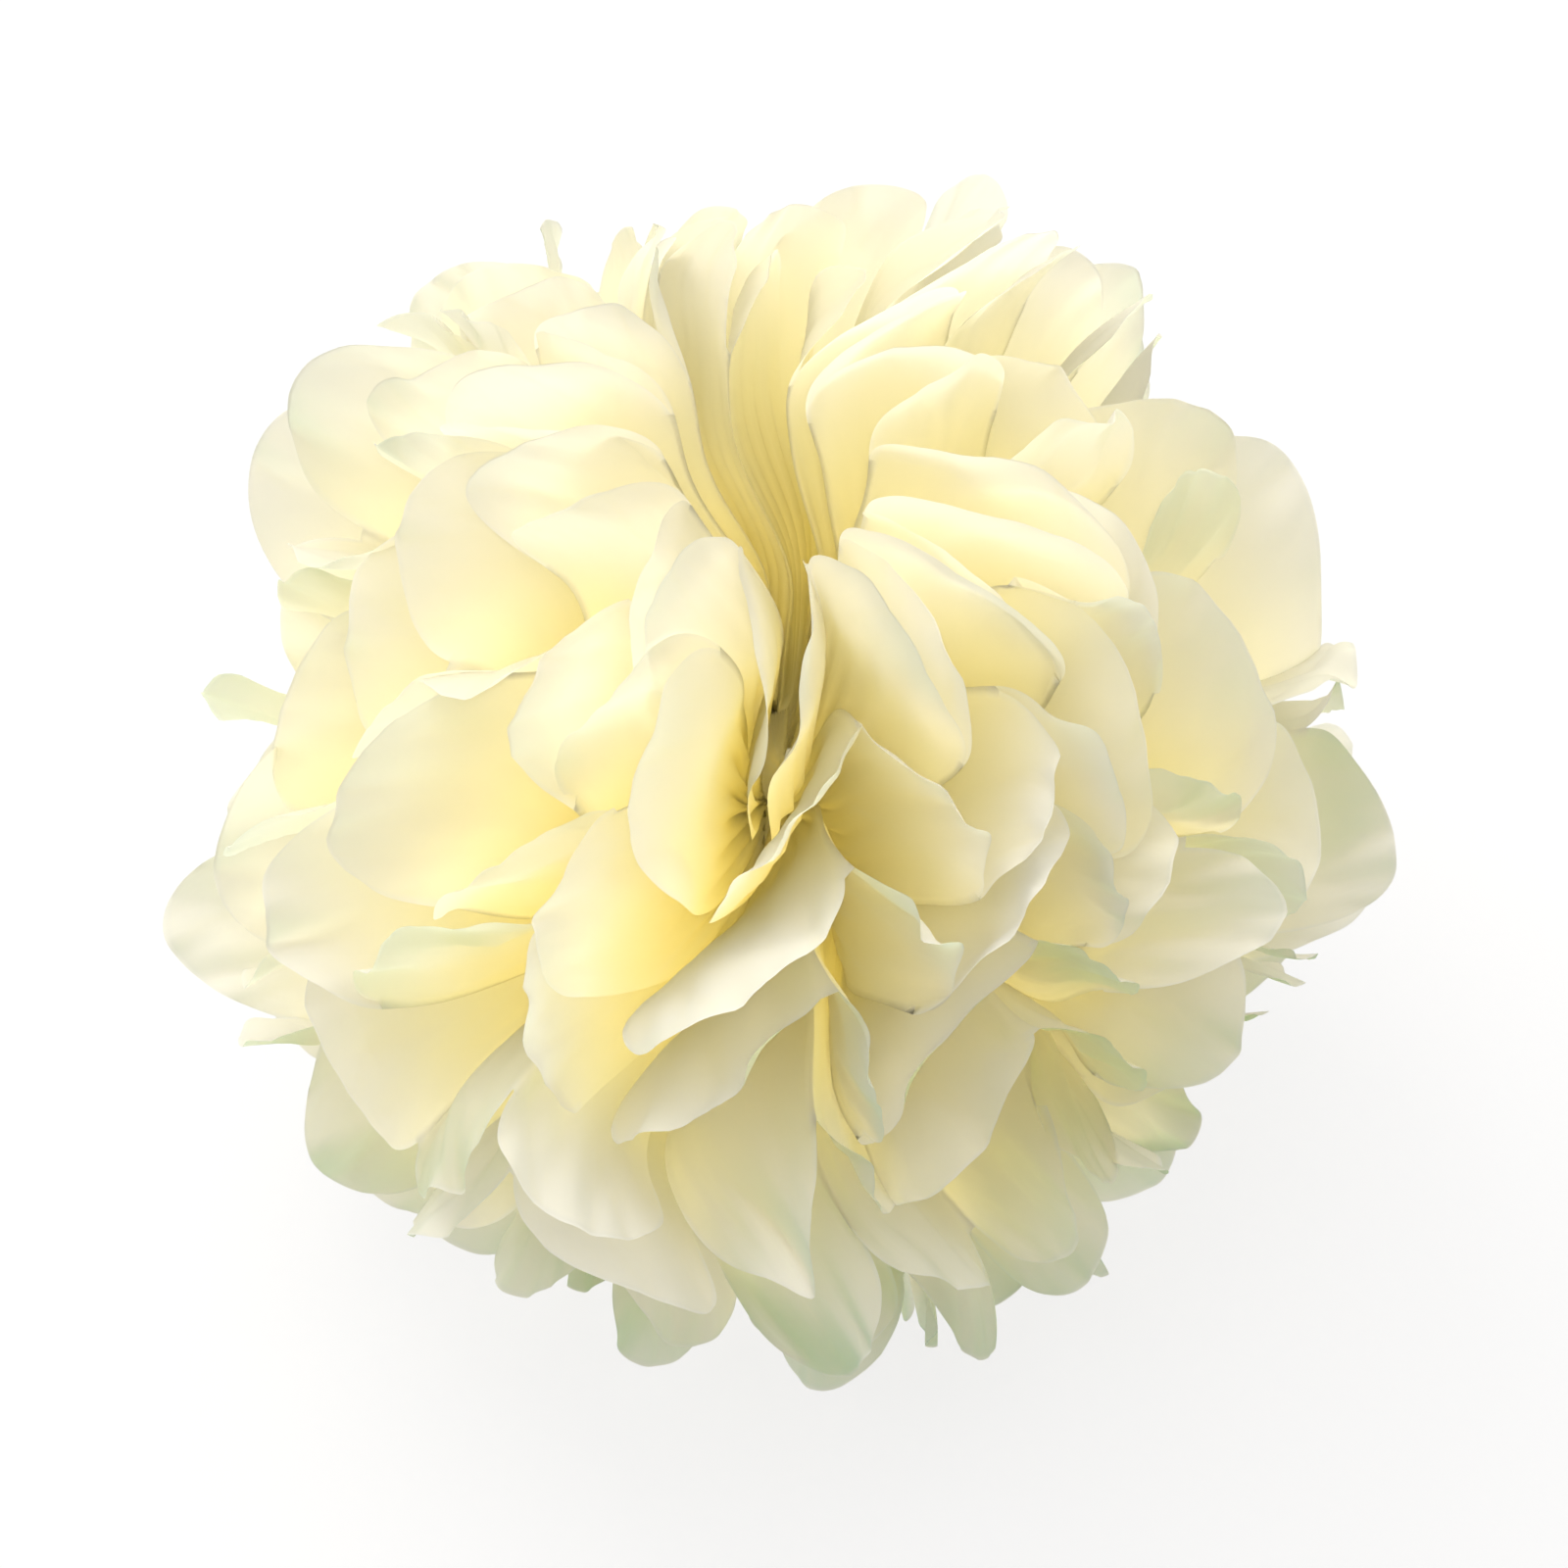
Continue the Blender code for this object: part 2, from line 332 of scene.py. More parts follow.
@dataclass
class TissueSheet:
    """One pleated tissue sheet, folded from a flat grid."""

    index: int
    opening: Opening
    chance: PetalChance
    axis: Vector
    cut: PaperCut = CUT
    fan: Fanning = FAN
    soft: Softness = SOFT
    tilt: float = field(init=False)
    level: float = field(init=False)
    bend: float = field(init=False)
    floor: float = field(init=False)

    def __post_init__(self) -> None:
        """Work out where in the stack this sheet lies and how steeply it stands."""
        share = 2 * self.index / (self.cut.sheets - 1) - 1
        self.tilt = share * self.fan.top_angle
        self.level = share * self.cut.stack_half
        self.bend = self.cut.bend_radius + self.cut.stack_half - abs(self.level)
        self.floor = self.cut.solid_thickness / 2 + self.index * self.fan.table_step

    @property
    def name(self) -> str:
        """Return the sheet's node name."""
        return f"sheet_{self.index + 1:02d}"

    def _run(self, along: Array) -> tuple[Array, Array, Array]:
        """Follow the fan's middle surface out from the tie.

        Args:
            along: Distances from the tie on the paper.

        Returns:
            Distance from the axis, height and slope at each.
        """
        up = math.copysign(1, self.tilt)
        steep = abs(self.tilt)
        angle = np.minimum(along / self.bend, steep)
        straight = along - angle * self.bend
        out = self.bend * np.sin(angle) + straight * math.cos(steep)
        rise = self.bend * (1 - np.cos(angle)) + straight * math.sin(steep)
        return out, self.level + up * rise, up * angle

    def _pleat_height(self, out: Array, along: Array) -> Array:
        """Find half the height of the zigzag, which keeps each pleat's true width.

        Args:
            out: Distances from the axis.
            along: Distances from the tie on the paper.

        Returns:
            Half the zigzag's height at each.
        """
        width = self.cut.pleat_width
        chord = math.pi / self.cut.pleats * out
        flattest = self.fan.flattest_pleat * width
        full = np.sqrt(np.maximum((width / 2) ** 2 - (chord / 2) ** 2, flattest ** 2))
        start = self.fan.pleat_rise * np.maximum(along - self.fan.pleat_start, 0)
        climb = max(abs(math.sin(self.tilt)), self.fan.shallowest_tilt)
        room = np.maximum(out - self.fan.pole_clearance, 0) / climb
        limits, ease = np.stack((full, start, room)) / MM, self.fan.corner_ease / MM
        return np.maximum(-ease * np.log(np.exp(-limits / ease).sum(axis=0)), 0) * MM

    def _gather(self, local: Array, along: Array, chord: Array, height: Array) -> Array:
        """Crush the paper's spare width into fine gathers near the tie.

        Args:
            local: Places across the pleat, -1 to 1.
            along: Distances from the tie on the paper.
            chord: The pleats' spacing round the ball.
            height: Half the height of the zigzag.

        Returns:
            How far each point moves off its pleat's plane.
        """
        gathers = self.soft.gathers
        panel = np.sqrt(chord ** 2 + 4 * height ** 2)
        spare = np.sqrt(np.maximum(self.cut.pleat_width ** 2 - panel ** 2, 0)) / (4 * gathers)
        phase = gathers * (local + 1) / 2
        wave = 1 - 4 * np.abs(np.mod(phase + 0.25, 1) - 0.5)
        return -wave * np.minimum(spare, self.soft.gather_rise * along)

    def _crease_waves(self, side: Side, panel: Array, local: Array,
                      along: Array) -> list[tuple[float, Array]]:
        """Trace the soft creases that run along each petal, from the widest to the finest.

        Args:
            side: The fan.
            panel: The pleat that each point is in.
            local: Places across the pleat, -1 to 1.
            along: Distances from the tie on the paper.

        Returns:
            The size of each set of creases, and its wave at each point.
        """
        ridges = self.chance.crease[self.index, side.row, panel]
        reach = along / self.soft.crease_step
        return [(size, np.sin(rate * local + lean * reach + ridges[:, slot]))
                for slot, (size, rate, lean) in enumerate(self.soft.creases)]

    def _petal_push(self, side: Side, panel: Array, local: Array, along: Array, loose: Array) -> Array:
        """Bend each petal's free end: tip curl, rim flare, cup, flutter and creases.

        Args:
            side: The fan.
            panel: The pleat that each point is in.
            local: Places across the pleat, -1 to 1.
            along: Distances from the tie on the paper.
            loose: How far into the free petal each point lies.

        Returns:
            How far each point moves off its pleat's plane.
        """
        pick = (self.index, side.row, panel)
        chance = self.chance
        ease = smooth(*self.soft.curl_share, along / self.cut.half_length)
        curl = self.soft.tip_curl * chance.curl[pick] * ease ** 1.5
        flare = self.soft.rim_flare * chance.flare[pick] * loose ** 1.5 * local ** 2
        flare += self.soft.cup * chance.cup[pick] * (self.soft.cup_level - local ** 2) * ease
        phase = chance.phase[pick]
        wide, narrow = self.soft.ripple_rates
        share = self.soft.ripple_share
        wave = np.sin(wide * local + phase[:, 0])
        wave += share * np.sin(narrow * local + self.soft.ripple_lean * loose + phase[:, 1])
        flutter = self.soft.flutter * chance.flutter[pick] * wave * loose ** 1.6 * share
        waves = self._crease_waves(side, panel, local, along)
        crease = sum(size * (np.abs(wave) - self.soft.crease_middle) for size, wave in waves)
        grain = self.soft.crease * crease * smooth(*self.soft.crease_share, along / self.cut.half_length)
        return curl + flare + flutter + grain * (1 - local ** 6)

    def _tone_and_crease_shade(self, side: Side, panel: Array, local: Array, along: Array) -> Array:
        """Find how far the paper's colour deepens: painted shade along its creases, and a random tint petal
        by petal.

        Args:
            side: The fan.
            panel: The pleat that each point is in.
            local: Places across the pleat, -1 to 1.
            along: Distances from the tie on the paper.

        Returns:
            The painted crease shade and random tint at each point, 0 to 1.
        """
        waves = self._crease_waves(side, panel, local, along)[1:]
        # Painted shade: the colour deepens along the sharp crease lines.
        lines = sum(size * np.exp(-(wave / self.soft.line_width) ** 2) for size, wave in waves)
        own = self.soft.petal_tone * (self.chance.cup[self.index, side.row, panel] + 1) / 2
        return np.clip(self.soft.painted_crease_shade_weight * lines + own, 0, 1)

    def place(self, side: Side, across: Array, local: Array, panel: Array, along: Array) -> Array:
        """Fold flat points into the opened fan.

        Args:
            side: The fan.
            across: Places across the pleats, counted in pleats.
            local: Places across their own pleat, -1 to 1.
            panel: The pleat that each point is in.
            along: Distances from the tie on the paper.

        Returns:
            The points in space.
        """
        fan, row = self.fan, side.row
        half = self.cut.half_length
        open_share = smooth(*fan.stray_share, along / half)
        loose = np.clip((along - self.cut.fold_end) / self.cut.petal_depth, 0, fan.loosest)
        along = along + fan.length_spread * self.opening.length[self.index, row, panel] * loose

        out, rise, slope = self._run(along)
        height = self._pleat_height(out, along)
        chord = math.pi / self.cut.pleats * out
        wave = 1 - 2 * np.abs(np.mod(across, 2) - 1)
        lean_way = np.where(panel % 2 == 0, 1, -1)
        steepness = lean_way * 2 * height / np.maximum(chord, 1e-6)
        lean = 1 / np.sqrt(1 + steepness ** 2)

        bow = fan.bow * chord * self.opening.bow[row, panel] * (1 - local ** 2)
        bow *= smooth(*fan.bow_share, along / half)
        curl = fan.curl_spread * self.opening.curl[self.index, row, panel] * loose ** 1.4
        turn = fan.petal_turn * np.abs(self.opening.turn[self.index, row, panel]) * local * loose * lean_way
        above = fan.centre_height + rise + height * wave * np.cos(slope)
        roomy = np.minimum(chord / (fan.narrow_pleat * self.cut.pleat_width), 1)
        roomy *= fan.steep_share + (1 - fan.steep_share) * lean
        fine = self._petal_push(side, panel, local, along, loose)
        push = (bow + (curl + turn + fine) * roomy) * smooth(0, fan.free_height, above)
        push += self._gather(local, along, chord, height)
        lift = height * wave + push * lean
        drift = self.opening.wander(self.index, side, Ripple.LIFT, across)
        lift += fan.wander_angle * along * open_share * drift
        shift = -push * steepness * lean

        twist = self.opening.twist(slope) * smooth(*fan.twist_reach, along)
        twist += fan.stagger_angle * open_share * self.opening.wander(self.index, side, Ripple.TURN, across)
        reach = out - lift * np.sin(slope)
        near = fan.pole_clearance / 2
        kept = near + near * np.logaddexp(0, (reach - near) / near) * 0.999
        reach = np.where(along > fan.pleat_start, kept, reach)
        level = rise + lift * np.cos(slope)
        heading = self.opening.heading(side, across) + twist
        waist = self.cut.waist_width * (across / self.cut.pleats - 0.5)
        x = self.cut.waist_length / 2 + reach * np.cos(heading) - shift * np.sin(heading)
        y = waist + reach * np.sin(heading) + shift * np.cos(heading)
        points = np.stack((side.value * x, side.value * y, level), axis=1)
        points += self.opening.sway(points)
        return self._settle(points)

    def _settle(self, points: Array) -> Array:
        """Stand the ball on the table: petals that would pass it bend and slide outwards.

        Args:
            points: Points from the ball's centre.

        Returns:
            The points in the row's frame.
        """
        soft = self.fan.table_softness
        height = points[:, 2] + self.fan.centre_height - self.floor
        pressed = soft * np.logaddexp(0, height / soft)
        flat = points[:, :2]
        outward = flat / np.maximum(np.linalg.norm(flat, axis=1), 1e-6)[:, None]
        slid = flat + outward * (self.fan.table_slide * (pressed - height))[:, None]
        pressed = np.maximum(pressed - self.fan.table_press * np.exp(-height / (3 * soft)), 0)
        moved = slid + np.array((self.axis.x, self.axis.y))
        return np.column_stack((moved, self.floor + pressed))

    def build(self, blank: FlatSheet, finish: bpy.types.Material) -> bpy.types.Object:
        """Fold a copy of the flat sheet and hang it on the frame.

        Args:
            blank: The flat sheet that all sheets are folded from.
            finish: The tissue's material.

        Returns:
            The finished sheet.
        """
        mesh = blank.mesh.copy()
        points = np.zeros((len(mesh.vertices), 3))
        tone_and_crease_shade = np.zeros(len(mesh.vertices), dtype=np.float32)
        for side in Side:
            mine = blank.side == side.value
            panel, local, along = blank.panel[side][mine], blank.local[side][mine], blank.along[mine]
            points[mine] = self.place(side, blank.across[side][mine], local, panel, along)
            # Painted crease shade and a random tint, kept on the points for the material.
            tone_and_crease_shade[mine] = self._tone_and_crease_shade(side, panel, local, along)
        mesh.vertices.foreach_set("co", points.ravel())
        mesh.attributes.new("tone_and_crease_shade", "FLOAT", "POINT").data.foreach_set("value", tone_and_crease_shade)
        mesh.update()
        mesh.name = f"tissue_{self.name}"
        mesh.materials.append(finish)
        piece = bpy.data.objects.new(f"tissue_{self.name}", mesh)
        bpy.context.scene.collection.objects.link(piece)
        select_only(piece)
        bpy.ops.object.shade_smooth()
        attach(piece, "root")
        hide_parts(self.name)
        return piece


def select_none() -> None:
    """Leave no object selected."""
    for other in bpy.context.selected_objects:
        other.select_set(False)


def select_only(piece: bpy.types.Object) -> None:
    """Select one object alone and make it the active one."""
    select_none()
    piece.select_set(True)
    bpy.context.view_layer.objects.active = piece


@dataclass
class FlatSheet:
    """The flat sheet with its petals cut apart, and each point's place on the paper."""

    cut: PaperCut = CUT
    columns: int = 24
    inner_rows: tuple[float, ...] = (0.0, 0.035, 0.07, 0.11, 0.15, 0.20, 0.25, 0.30, 0.35, 0.40, 0.45, 0.50,
                                     0.545, 0.59, 0.635, 0.675, 0.715, 0.75, 0.785, 0.82, 0.85, 0.88, 0.91,
                                     0.94, 0.97)
    petal_rows: int = 16
    row_crowding: float = 1.25
    tip_roundness: float = 2.2
    # Where the painted rim shade starts and ends, towards the cut edge.
    painted_rim_shade_share: tuple[float, float] = (0.93, 1.0)
    mesh: bpy.types.Mesh = field(init=False)
    side: Array = field(init=False)
    rim: Array = field(init=False)
    along: Array = field(init=False)
    across: dict[Side, Array] = field(init=False)
    local: dict[Side, Array] = field(init=False)
    panel: dict[Side, Array] = field(init=False)

    def __post_init__(self) -> None:
        """Lay out the grid, cut the petals apart and note each point's place."""
        rows = len(self.inner_rows) + self.petal_rows
        wide = self.columns * self.cut.pleats
        select_none()
        bpy.ops.mesh.primitive_grid_add(x_subdivisions=2 * rows + 1, y_subdivisions=wide, size=2)
        sheet = bpy.context.object
        bm = bmesh.new()
        bm.from_mesh(sheet.data)
        for vert in bm.verts:
            vert.co.x = round((vert.co.x + 1) / 2 * (2 * rows + 1))
            vert.co.y = round((vert.co.y + 1) / 2 * wide)
        self._part_petals(bm, rows, wide)
        self._note_places(bm, rows, wide)
        bm.to_mesh(sheet.data)
        bm.free()
        self.mesh = sheet.data.copy()
        self._lay_uv()
        # The rim mask places painted shade along the petals' cut edges.
        rim = self.mesh.attributes.new("rim", "FLOAT", "POINT")
        rim.data.foreach_set("value", self.rim.astype(np.float32))
        bpy.data.objects.remove(sheet, do_unlink=True)

    def _part_petals(self, bm: bmesh.types.BMesh, rows: int, wide: int) -> None:
        """Split the sheet along its folds between neighbouring petals.

        Args:
            bm: The flat grid.
            rows: Rows from the tie to a tip.
            wide: Columns across the sheet.
        """
        petal = self.petal_rows
        parted = []
        for edge in bm.edges:
            first, second = (vert.co for vert in edge.verts)
            low, high = sorted((first.x, second.x))
            on_fold = first.y == second.y and first.y % self.columns == 0 and 0 < first.y < wide
            if on_fold and (low < petal or high > 2 * rows + 1 - petal):
                parted.append(edge)
        bmesh.ops.split_edges(bm, edges=parted)
        bm.verts.index_update()

    def _note_places(self, bm: bmesh.types.BMesh, rows: int, wide: int) -> None:
        """Work out every point's fan, pleat and distance from the tie.

        Args:
            bm: The parted grid.
            rows: Rows from the tie to a tip.
            wide: Columns across the sheet; not used.
        """
        x = np.array([vert.co.x for vert in bm.verts])
        y = np.array([vert.co.y for vert in bm.verts])
        middle = np.array([
            np.mean([face.calc_center_median().y for face in vert.link_faces]) for vert in bm.verts
        ])
        self.side = np.where(x > rows, 1, -1)
        row = np.where(x > rows, x - rows, rows + 1 - x).astype(int) - 1
        inner = len(self.inner_rows)
        share = np.array([*self.inner_rows, *([1.0] * (self.petal_rows + 1))])
        base = share[row] * self.cut.fold_end
        reach = np.clip((row - inner + 1) / self.petal_rows, 0, 1)
        reach = np.where(row >= inner, 1 - (1 - reach) ** self.row_crowding, 0.0)
        self.across, self.local, self.panel = {}, {}, {}
        panel = np.clip(np.floor(np.where(row >= inner, middle, y) / self.columns), 0, self.cut.pleats - 1)
        column = 2 * (y - panel * self.columns) / self.columns - 1
        spread = column * np.sqrt(1 - reach ** self.tip_roundness / 2)
        depth = reach * np.sqrt(1 - column ** 2 / 2)
        self.along = base + depth * self.cut.petal_depth
        edge = np.maximum(reach, np.abs(column) * (reach > 0))
        self.rim = smooth(*self.painted_rim_shade_share, edge)
        for side in Side:
            right = side is Side.RIGHT
            self.panel[side] = (panel if right else self.cut.pleats - 1 - panel).astype(int)
            self.local[side] = spread if right else -spread
            self.across[side] = self.panel[side] + (self.local[side] + 1) / 2

    def _lay_uv(self) -> None:
        """Give the paper a map in metres: across its pleats, and along them from the tie."""
        layer = self.mesh.uv_layers.new(name="paper")
        across = np.where(self.side > 0, self.across[Side.RIGHT], self.cut.pleats - self.across[Side.LEFT])
        points = np.stack((across * self.cut.pleat_width, self.side * self.along), axis=1)
        loops = np.zeros(len(self.mesh.loops), dtype=np.int64)
        self.mesh.loops.foreach_get("vertex_index", loops)
        layer.uv.foreach_set("vector", points[loops].ravel())


@dataclass
class TieWire:
    """The thin wire round the waist, its two ends twisted together below."""

    axis: Vector
    cut: PaperCut = CUT
    fan: Fanning = FAN
    radius: float = 0.45 * MM
    gap: float = 0.4 * MM
    corner: float = 0.9 * MM
    tail_turns: float = 2.75
    tail_length: float = 12 * MM
    tail_drop: float = 2.2 * MM
    tail_spread: float = 1.15
    tail_steps: int = 44
    corner_steps: int = 4

    def _route(self) -> list[tuple[float, float, float]]:
        """Trace the wire up one tail, round the waist and down the other tail.

        Returns:
            The points that the wire follows.
        """
        half_width = self.cut.waist_width / 2 + self.gap + self.radius
        half_height = self.cut.stack_half + self.cut.solid_thickness / 2 + self.gap + self.radius
        spread = self.tail_spread * self.radius
        start = -half_height - self.tail_drop
        tail = []
        for step in range(self.tail_steps):
            share = step / self.tail_steps
            angle = self.tail_turns * TURN * (1 - share)
            level = start - self.tail_length * (1 - share)
            tail.append((spread * math.sin(angle), spread * math.cos(angle), level))
        half = [(0.0, spread, start)]
        for middle_z, first in ((-half_height + self.corner, -0.25), (half_height - self.corner, 0.0)):
            for step in range(self.corner_steps + 1):
                angle = (first + step / (4 * self.corner_steps)) * TURN
                half.append((0.0, half_width - self.corner + self.corner * math.cos(angle),
                             middle_z + self.corner * math.sin(angle)))
        loop = half + [(x, -y, z) for x, y, z in reversed(half)]
        back = [(-x, -y, z) for x, y, z in reversed(tail)]
        lift = self.fan.centre_height
        return [(x + self.axis.x, y + self.axis.y, z + lift) for x, y, z in tail + loop + back]

    def build(self, finish: bpy.types.Material) -> bpy.types.Object:
        """Make the wire as one round tube and hang it on the frame.

        Args:
            finish: The coated wire's material.

        Returns:
            The finished wire.
        """
        curve = bpy.data.curves.new("twisted_tie", "CURVE")
        curve.dimensions = "3D"
        curve.bevel_depth = self.radius
        curve.bevel_resolution = 3
        curve.use_fill_caps = True
        route = self._route()
        spline = curve.splines.new("POLY")
        spline.points.add(len(route) - 1)
        for point, place in zip(spline.points, route):
            point.co = (*place, 1.0)
        tube = bpy.data.objects.new("twisted_tie", curve)
        bpy.context.scene.collection.objects.link(tube)
        select_only(tube)
        bpy.ops.object.convert(target="MESH")
        piece = bpy.context.object
        piece.name = "twisted_tie"
        select_only(piece)
        bpy.ops.object.shade_smooth()
        piece.data.materials.clear()
        piece.data.materials.append(finish)
        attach(piece, "root")
        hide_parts("tie_wire")
        return piece


class Value:
    """A shader socket that takes part in sums and products."""

    def __init__(self, tree: Tree, socket: bpy.types.NodeSocket) -> None:
        """Wrap a socket.

        Args:
            tree: The tree that the socket is in.
            socket: The output to wrap.
        """
        self.tree = tree
        self.socket = socket

    def _math(self, operation: str, *values: Value | float) -> Value:
        """Add a Math node for one operation and return its result."""
        return self.tree.add("ShaderNodeMath", {"operation": operation}, dict(enumerate(values)))

    def __add__(self, other: Value | float) -> Value:
        """Return the sum."""
        return self._math("ADD", self, other)

    def __radd__(self, other: float) -> Value:
        """Return the sum with a number before."""
        return self._math("ADD", other, self)

    def __mul__(self, other: Value | float) -> Value:
        """Return the product."""
        return self._math("MULTIPLY", self, other)

    def __rmul__(self, other: float) -> Value:
        """Return the product with a number before."""
        return self._math("MULTIPLY", other, self)

    def clamp(self) -> Value:
        """Return the value kept between 0 and 1."""
        return self.tree.add("ShaderNodeClamp", {}, {"Value": self})


class Tree:
    """A material's node tree, built a node at a time."""

    def __init__(self, name: str) -> None:
        """Start an empty material.

        Args:
            name: The finish's name.
        """
        self.material = bpy.data.materials.new(name)
        self.material.use_nodes = True
        self.nodes = self.material.node_tree.nodes
        self.links = self.material.node_tree.links
        self.nodes.clear()

    def add(self, kind: str, settings: dict[str, Any], inputs: dict[Any, Any],
            output: int | str = 0) -> Value:
        """Add one node, set it up and join its inputs.

        Args:
            kind: The node's type.
            settings: Its own settings; "stops" sets a ramp's stops.
            inputs: Values or links by socket name or place.
            output: Which output to return.

        Returns:
            The chosen output.
        """
        node = self.nodes.new(kind)
        for key, setting in settings.items():
            if key == "stops":
                self._set_stops(node.color_ramp, setting)
            else:
                setattr(node, key, setting)
        for key, value in inputs.items():
            if isinstance(value, Value):
                self.links.new(value.socket, node.inputs[key])
            else:
                node.inputs[key].default_value = value
        return Value(self, node.outputs[output]) if node.outputs else Value(self, None)

    @staticmethod
    def _set_stops(ramp: bpy.types.ColorRamp, stops: list[tuple[float, tuple[float, ...]]]) -> None:
        """Set a colour ramp's stops."""
        while len(ramp.elements) < len(stops):
            ramp.elements.new(0.5)
        for element, (place, colour) in zip(ramp.elements, stops):
            element.position = place
            element.color = colour

    def finish(self, surface: Value) -> bpy.types.Material:
        """Join the surface to the material's output and return the material."""
        self.add("ShaderNodeOutputMaterial", {}, {"Surface": surface})
        return self.material


@dataclass(frozen=True)
class TissueFinish:
    """Thin matt cream tissue that lets the light of the studio through, with painted golden shade towards
    the ball's centre and painted shade along creases and cut rims.
    """

    outer: tuple[float, float, float, float] = (0.998, 0.972, 0.865, 1.0)
    # The middle and innermost colours are painted shade: the cream turns a richer gold towards the ball's
    # centre, as light bounced among the sheets would make it.
    middle: tuple[float, float, float, float] = (1.0, 0.925, 0.58, 1.0)
    painted_deep_shade: tuple[float, float, float, float] = (1.0, 0.845, 0.31, 1.0)
    glow: tuple[float, float, float, float] = (0.999, 0.98, 0.86, 1.0)
    # Painted shade: a greyer line along the petals' cut rims.
    rim: tuple[float, float, float, float] = (0.90, 0.90, 0.86, 1.0)
    # Painted shade along the creases, and also a random tint petal by petal.
    tone_and_painted_crease_shade: tuple[float, float, float, float] = (0.985, 0.925, 0.66, 1.0)
    through: float = 0.54
    painted_shade_depths: tuple[float, float, float] = (0.40, 0.74, 1.0)
    ball_radius: float = 100 * MM
    centre_height: float = 77 * MM
    roughness: float = 0.78
    specular: float = 0.1
    tone_and_crease_shade_share: float = 0.5
    painted_rim_shade_share: float = 0.8

    def material(self, axis: Vector) -> bpy.types.Material:
        """Build the tissue's material.

        Args:
            axis: The ball's axis in plan.

        Returns:
            The material.
        """
        tree = Tree("cream_tissue")
        place = tree.add("ShaderNodeTexCoord", {}, {}, "Object")
        centre = (-axis.x, -axis.y, -self.centre_height)
        offset = tree.add("ShaderNodeVectorMath", {"operation": "ADD"}, {0: place, 1: centre})
        reach = tree.add("ShaderNodeVectorMath", {"operation": "LENGTH"}, {0: offset}, "Value")
        # Painted shade: the colour is ramped from cream to gold by a point's distance from the ball's
        # centre.
        depth = reach * (1 / self.ball_radius)
        stops = list(zip(self.painted_shade_depths, (self.painted_deep_shade, self.middle, self.outer)))
        colour = tree.add("ShaderNodeValToRGB", {"stops": stops}, {"Fac": depth}, "Color")
        # The first mark mixes in painted crease shade and a random tint; the second mixes in painted shade
        # along the cut rims.
        marks = (("tone_and_crease_shade", self.tone_and_crease_shade_share, self.tone_and_painted_crease_shade), ("rim", self.painted_rim_shade_share, self.rim))
        for mark, share, paint in marks:
            amount = tree.add("ShaderNodeAttribute", {"attribute_name": mark}, {}, "Fac")
            colour = tree.add("ShaderNodeMix", {"data_type": "RGBA"},
                              {"Factor": amount * share, 6: colour, 7: paint}, 2)
        body = tree.add("ShaderNodeBsdfPrincipled", {}, {"Base Color": colour, "Roughness": self.roughness,
                                                         "Specular IOR Level": self.specular})
        behind = tree.add("ShaderNodeBsdfTranslucent", {}, {"Color": self.glow})
        mix = tree.add("ShaderNodeMixShader", {}, {"Fac": self.through, 1: body, 2: behind})
        return tree.finish(mix)


@dataclass(frozen=True)
class WireFinish:
    """Thin wire in a pale coat."""

    colour: tuple[float, float, float, float] = (0.86, 0.85, 0.80, 1.0)
    specular: float = 0.5
    smoothest: float = 0.35
    speck_share: float = 0.2
    speck_scale: float = 1500.0
    speck_detail: float = 3.0

    def material(self) -> bpy.types.Material:
        """Build the wire's material."""
        tree = Tree("coated_wire")
        place = tree.add("ShaderNodeTexCoord", {}, {}, "Object")
        specks = tree.add("ShaderNodeTexNoise", {}, {"Vector": place, "Scale": self.speck_scale,
                                                     "Detail": self.speck_detail}, "Fac")
        rough = self.smoothest + specks * self.speck_share
        body = tree.add("ShaderNodeBsdfPrincipled", {}, {"Base Color": self.colour, "Roughness": rough,
                                                         "Specular IOR Level": self.specular})
        return tree.finish(body)


@dataclass(frozen=True)
class FloorFinish:
    """A pale table that looks white and throws a cool light back up."""

    seen: tuple[float, float, float, float] = (1.0, 1.0, 1.0, 1.0)
    lit: tuple[float, float, float, float] = (0.0, 0.15, 0.05, 1.0)
    shade_share: float = 0.22

    def material(self) -> bpy.types.Material:
        """Build the floor's material."""
        tree = Tree("pale_table")
        path = tree.add("ShaderNodeLightPath", {}, {}, "Is Camera Ray")
        node = path.socket.node
        mirror = Value(tree, node.outputs["Is Glossy Ray"])
        clear = Value(tree, node.outputs["Is Transmission Ray"])
        plain = tree.add("ShaderNodeBsdfDiffuse", {}, {"Color": self.seen})
        glow = tree.add("ShaderNodeEmission", {}, {"Color": self.seen, "Strength": 1.0})
        white = tree.add("ShaderNodeMixShader", {}, {"Fac": self.shade_share, 1: glow, 2: plain})
        bounce = tree.add("ShaderNodeBsdfDiffuse", {}, {"Color": self.lit})
        direct = (path + mirror + clear).clamp()
        return tree.finish(tree.add("ShaderNodeMixShader", {}, {"Fac": direct, 1: bounce, 2: white}))


@dataclass(frozen=True)
class Lamp:
    """One soft lamp, in metres and watts: a square one, or a spot where it has a cone."""

    name: str
    place: tuple[float, float, float]
    size: float
    energy: float
    colour: tuple[float, float, float]
    cone: float = 0.0
    aim_rise: float = 0.0


KEY = Lamp("window_key", (-0.55, 0.45, 0.85), 0.6, 4.2, (1.0, 0.97, 0.90))
SLIT = Lamp("slit_spot", (0.09, -0.46, 0.80), 0.05, 19.0, (1.0, 0.91, 0.70), cone=10 * DEG,
            aim_rise=15 * MM)


